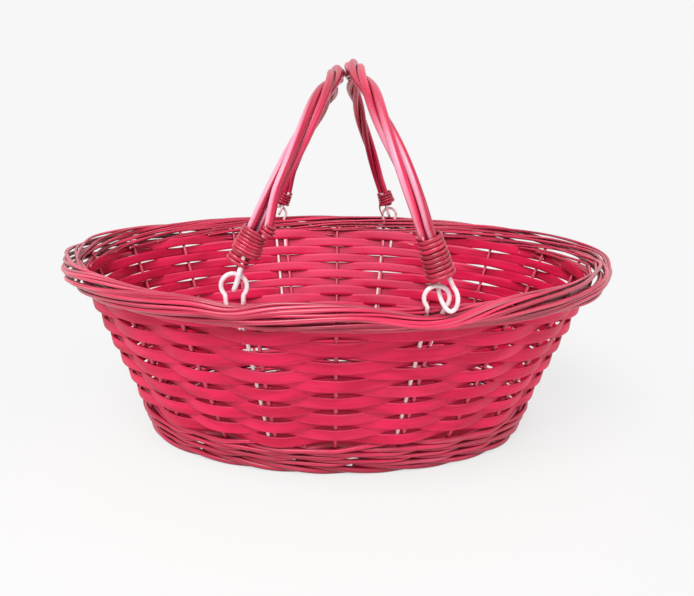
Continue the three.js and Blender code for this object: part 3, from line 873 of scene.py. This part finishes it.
handle_draw = np.random.default_rng(41)
for side_name, side in (("left", -1), ("right", 1)):
    span = -eye_centre("front_" + side_name)[1]
    for index, (front_start, back_start) in enumerate(rod_ends[side_name]):
        points, heading, share = arch_line(span, front_start, back_start, 260)
        along, up = points.T
        twisted = share - TWIST_TIGHTENING * np.sin(2 * math.pi * share) / (2 * math.pi)
        angle = 2 * math.pi * (index / 3 + TWIST_TURNS * twisted)
        out = BUNDLE_OUT - CREST_IN * eased(part_way(up, *CREST_OVER))
        if side_name == "left":
            angle += LEFT_FOOT_TURN * part_way(share, 0.4, 0) ** 2
            bow = part_way(up, *BOW_OVER) * part_way(up, *BOW_GONE_OVER)
            out += LEFT_BACK_BOW * eased(bow) * (along > 0)
            if index == 0:
                out -= CUT_ROD_APART * eased(part_way(up, *CUT_ROD_OVER)) * (along < 0)
        else:
            out += RIGHT_FOOT_OUT * eased(part_way(up, *RIGHT_FOOT_OVER)) * (along < 0)
        ripple = 1 + 0.02 * np.sin(share * 40 + handle_draw.uniform(0, FULL_TURN))
        out -= STRAND * np.cos(angle) * ripple
        sideways = STRAND * np.sin(angle) * ripple
        line = np.stack([side * out, along - heading[:, 1] * sideways, up + heading[:, 0] * sideways], 1)
        phase = handle_draw.uniform(0, FULL_TURN, 2)
        swell = 0.03 * np.sin(share * 17 + phase[0]) + 0.02 * np.sin(share * 43 + phase[1])
        rings = rod_rings(line, np.array([1.0, 0, 0]), HANDLE_ROD * (0.985 + swell), 20)
        name = "%s_handle_rod_%d" % (side_name, index + 1)
        parts = [(handle_place(side_name, rings), False, index + 3 * (side + 1))]
        lofted("twisted_" + name, side_name + "_handle", name, parts, handle_wood, cut_pith)


# Handle eyes: the same coated wire, bent to a long loop that hangs in the rim eye, its ends under the
# binding. The one at the right of the front has opened to a drop and turned, so its loop shows from there.
LINK = 3.908
WIRE_END = 25.2
LEFT_END_IN = 3.4
# The opened loop, as points outwards, backwards and up from the hinge: it comes down behind the rim eye,
# passes through it and goes up in front of it
opened_loop = [
    (1.6, 2.6, WIRE_END),
    (2.4, 3.4, 8.6),
    (1.5, 3.6, 3.0),
    (0.4, 1.6, -1.4),
    (0.2, -1.8, -5.0),
    (1.0, -4.4, -9.4),
    (3.2, -4.6, -12.2),
    (7.0, -4.4, -10.8),
    (9.3, -4.2, -6.4),
    (9.7, -4.0, -2.0),
    (8.5, -3.7, 2.4),
    (6.4, -2.8, WIRE_END),
]
for side_name in ("left", "right"):
    for end_name, end in (("front", -1), ("back", 1)):
        middle = np.array([0, end * -eye_centre("front_" + side_name)[1], 0])
        if (end_name, side_name) == ("front", "right"):
            corners = np.array(opened_loop) + middle
            square = np.array([0, -1.0, 0])
        else:
            angles = np.linspace(math.pi, 2 * math.pi, 17)
            bend = np.stack([0 * angles, middle[1] + LINK * np.cos(angles), LINK * (1 + np.sin(angles))], 1)
            top = np.array([-LEFT_END_IN if (end_name, side_name) == ("front", "left") else 0, 0, WIRE_END])
            corners = [bend[0] * (1, 1, 0) + top, *bend, bend[-1] * (1, 1, 0) + top]
            square = np.array([1.0, 0, 0])
        rings = rod_rings(rounded(corners, spacing=0.6, rounds=2), square, WIRE, WIRE_SIDES)
        name = "handle_eye_%s_%s" % (end_name, side_name)
        parts = [(handle_place(side_name, rings), False, 2)]
        lofted("wire_" + name, side_name + "_handle", name, parts, wire_coat)


# Bindings: dark crimson cane wound close round each handle foot, over the rods and the ends of the eye.
# The cane is split, so its outside is flatter than a rod's. At the left of the front the short rod, the other
# two and the eye's wire each got windings of their own.
CANE_FLATTENED = 0.3
CANE_TAPER = 1.2
CANE_SAMPLES = 40
CANE_KNOTS = 12
CANE_UNEVEN = 0.12
# Windings of each binding: centre outwards and backwards from the hinge, half widths, start, pitch, turns
# and the cane's radius
windings = {
    ("front", "right"): [(4.6, 0.0, 7.2, 6.9, 8.0, 2.75, 9.4, 1.30)],
    ("back", "right"): [(2.256, 0.0, 7.1, 7.1, 12.8, 2.8, 4.4, 1.40)],
    ("back", "left"): [(2.6, 0.0, 6.9, 6.9, 12.0, 2.8, 4.2, 1.35)],
    ("front", "left"): [
        (2.6, 1.2, 7.4, 6.6, 21.4, 1.92, 8.0, 0.98),
        (4.6, 0.0, 5.4, 4.8, 14.8, 2.40, 3.0, 1.22),
        (-3.6, -2.7, 3.5, 3.5, 37.0, 2.20, 2.6, 0.95),
    ],
}
# A loose end of the cane at two of the feet, as points outwards, backwards and up from the hinge
loose_ends = {
    ("front", "right"): [(-5.0, -5.6, 32.0), (-7.6, -5.2, 33.4), (-10.0, -3.0, 34.6), (-12.4, -1.0, 34.8)],
    ("back", "right"): [(-5.6, -3.4, 15.5), (-7.2, -3.4, 11.0), (-7.4, -3.0, 6.5), (-6.4, -2.6, 2.5)],
}
cane = dyed_wood(
    "dyed binding cane", (0.27, 0.004, 0.022), (0.52, 0.010, 0.048), (0.76, 0.12, 0.19),
    across=1600, along=30, bands=400, dull=0.42, gloss=0.25, shine=0.4, lacquer=0.25, relief=0.12,
)
cane_draw = np.random.default_rng(51)
for (end_name, side_name), wound in windings.items():
    side = -1 if side_name == "left" else 1
    middle = (1 if end_name == "back" else -1) * -eye_centre("front_" + side_name)[1]
    parts = []
    for number, (outwards, backwards, wide, deep, start, pitch, count, thick) in enumerate(wound):
        turns = np.linspace(0, count, int(count * CANE_SAMPLES) + 1)
        knots = np.arange(CANE_KNOTS)
        shift = np.interp(turns, knots, cane_draw.normal(0, CANE_UNEVEN, CANE_KNOTS))
        swell = np.interp(turns, knots, cane_draw.normal(0, CANE_UNEVEN, CANE_KNOTS))
        swell -= CANE_TAPER * (turns / count - 0.5)
        angle = 2 * math.pi * turns + math.pi / 2
        spoke = np.stack([side * np.cos(angle), np.sin(angle), 0 * angle], 1)
        axis = np.array([side * outwards, middle + backwards, 0])
        line = axis + spoke * np.stack([wide + swell, deep + swell, 0 * turns], 1)
        line[:, 2] = start + pitch * turns + shift
        rings = rod_rings(line, np.array([0, 0, 1.0]), thick, 12)
        depth = np.sum((rings - line[:, None]) * spoke[:, None], -1, keepdims=True)
        flattened = rings - CANE_FLATTENED * depth * spoke[:, None]
        parts.append((handle_place(side_name, flattened), False, 4 + number))
    if (end_name, side_name) in loose_ends:
        strand = np.array(loose_ends[end_name, side_name]) * (side, 1, 1) + np.array([0, middle, 0])
        strand = rounded(strand, spacing=0.5, rounds=3)
        rings = rod_rings(strand, np.array([0, 1.0, 0]), np.linspace(1.0, 0.45, len(strand)), 10)
        parts.append((handle_place(side_name, rings), False, 9))
    name = "binding_%s_%s" % (end_name, side_name)
    lofted("wound_" + name, side_name + "_handle", name, parts, cane, cut_pith)


# Studio: pale floor and background, one broad lamp high in front and a weaker one on the right.
# The floor keeps the basket's soft shadow and runs out into the background without an edge.
# Its sizes, like the camera's, are in metres.
BACKGROUND = (0.93, 0.93, 0.93, 1)
FLOOR_HALF = 6
SHADOW_KEPT_TO = 0.20
SHADOW_GONE_FROM = 0.50
LAMP_AIM = Vector((0, 0, 0.12))


def seen_by_lens(nodes, links):
    """Share of a ray that reaches the picture, straight or by way of a shiny or clear surface."""
    path = nodes.new("ShaderNodeLightPath")
    share = path.outputs["Is Camera Ray"]
    for other in ("Is Glossy Ray", "Is Transmission Ray"):
        either = nodes.new("ShaderNodeMath")
        either.operation = "MAXIMUM"
        links.new(share, either.inputs[0])
        links.new(path.outputs[other], either.inputs[1])
        share = either.outputs[0]
    return share


def pale_floor():
    """Dull pale floor, shown as the background beyond the shadow."""
    material = bpy.data.materials.new("pale floor")
    material.use_nodes = True
    nodes, links = material.node_tree.nodes, material.node_tree.links
    shader = nodes["Principled BSDF"]
    shader.inputs["Base Color"].default_value = (0.82, 0.82, 0.82, 1)
    shader.inputs["Roughness"].default_value = 0.9
    shader.inputs["Specular IOR Level"].default_value = 0.1
    glow = nodes.new("ShaderNodeEmission")
    glow.inputs["Color"].default_value = BACKGROUND
    place = nodes.new("ShaderNodeNewGeometry")
    distance = nodes.new("ShaderNodeVectorMath")
    distance.operation = "LENGTH"
    links.new(place.outputs["Position"], distance.inputs[0])
    blend_in = nodes.new("ShaderNodeMapRange")
    blend_in.interpolation_type = "SMOOTHSTEP"
    blend_in.inputs["From Min"].default_value = SHADOW_KEPT_TO
    blend_in.inputs["From Max"].default_value = SHADOW_GONE_FROM
    blend_in.inputs["To Min"].default_value = 0.74
    blend_in.inputs["To Max"].default_value = 1.0
    links.new(distance.outputs["Value"], blend_in.inputs["Value"])
    share = nodes.new("ShaderNodeMath")
    share.operation = "MULTIPLY"
    links.new(seen_by_lens(nodes, links), share.inputs[0])
    links.new(blend_in.outputs["Result"], share.inputs[1])
    mix = nodes.new("ShaderNodeMixShader")
    links.new(share.outputs[0], mix.inputs[0])
    links.new(shader.outputs[0], mix.inputs[1])
    links.new(glow.outputs[0], mix.inputs[2])
    links.new(mix.outputs[0], nodes["Material Output"].inputs["Surface"])
    return material


floor_mesh = bpy.data.meshes.new("studio_floor")
floor_corners = [(x * FLOOR_HALF, y * FLOOR_HALF, 0) for x, y in ((-1, -1), (1, -1), (1, 1), (-1, 1))]
floor_mesh.from_pydata(floor_corners, [], [(0, 1, 2, 3)])
floor_mesh.materials.append(pale_floor())
floor = bpy.data.objects.new("studio_floor", floor_mesh)
scene.collection.objects.link(floor)

world = bpy.data.worlds.new("studio")
scene.world = world
world.use_nodes = True
world_nodes, world_links = world.node_tree.nodes, world.node_tree.links
around_light = world_nodes["Background"]
around_light.inputs["Color"].default_value = (1, 1, 1, 1)
around_light.inputs["Strength"].default_value = 0.46
backdrop = world_nodes.new("ShaderNodeBackground")
backdrop.inputs["Color"].default_value = BACKGROUND
world_mix = world_nodes.new("ShaderNodeMixShader")
world_links.new(seen_by_lens(world_nodes, world_links), world_mix.inputs[0])
world_links.new(around_light.outputs[0], world_mix.inputs[1])
world_links.new(backdrop.outputs[0], world_mix.inputs[2])
world_links.new(world_mix.outputs[0], world_nodes["World Output"].inputs["Surface"])

for name, place, size, power in (
    ("lamp_front", (-0.40, -1.05, 1.40), 0.9, 31.0),
    ("lamp_right", (1.4, -0.8, 0.75), 0.7, 5.0),
):
    light = bpy.data.lights.new(name, "AREA")
    light.shape = "SQUARE"
    light.size = size
    light.energy = power
    lamp = bpy.data.objects.new(name, light)
    lamp.location = place
    lamp.rotation_euler = (LAMP_AIM - Vector(place)).to_track_quat("-Z", "Y").to_euler()
    scene.collection.objects.link(lamp)


# Camera: stands where the photograph was taken from, close in front of the basket and a little above it.
# It looks slightly to the right and is rolled by about a degree.
AZIMUTH, ELEVATION, ROLL = (math.radians(degrees) for degrees in (1.7, 16.1, 1.13))
AIM = Vector((0.0073, 0, 0.1112))
DISTANCE = 0.497
SENSOR = 36
PHOTO_WIDTH, PHOTO_HEIGHT = 694, 596
ahead = Vector((math.sin(AZIMUTH), math.cos(AZIMUTH), 0))
look = math.cos(ELEVATION) * ahead - Vector((0, 0, math.sin(ELEVATION)))
right = Vector((math.cos(AZIMUTH), -math.sin(AZIMUTH), 0))
top = right.cross(look)
view_right = math.cos(ROLL) * right + math.sin(ROLL) * top
view_up = -math.sin(ROLL) * right + math.cos(ROLL) * top
lens = bpy.data.cameras.new("camera")
lens.sensor_width = SENSOR
lens.lens = SENSOR * PHOTO_HEIGHT / PHOTO_WIDTH
camera = bpy.data.objects.new("camera", lens)
stand = AIM - DISTANCE * look
camera.matrix_world = Matrix.Translation(stand) @ Matrix((view_right, view_up, -look)).transposed().to_4x4()
scene.collection.objects.link(camera)
scene.camera = camera
scene.view_settings.view_transform = "Standard"
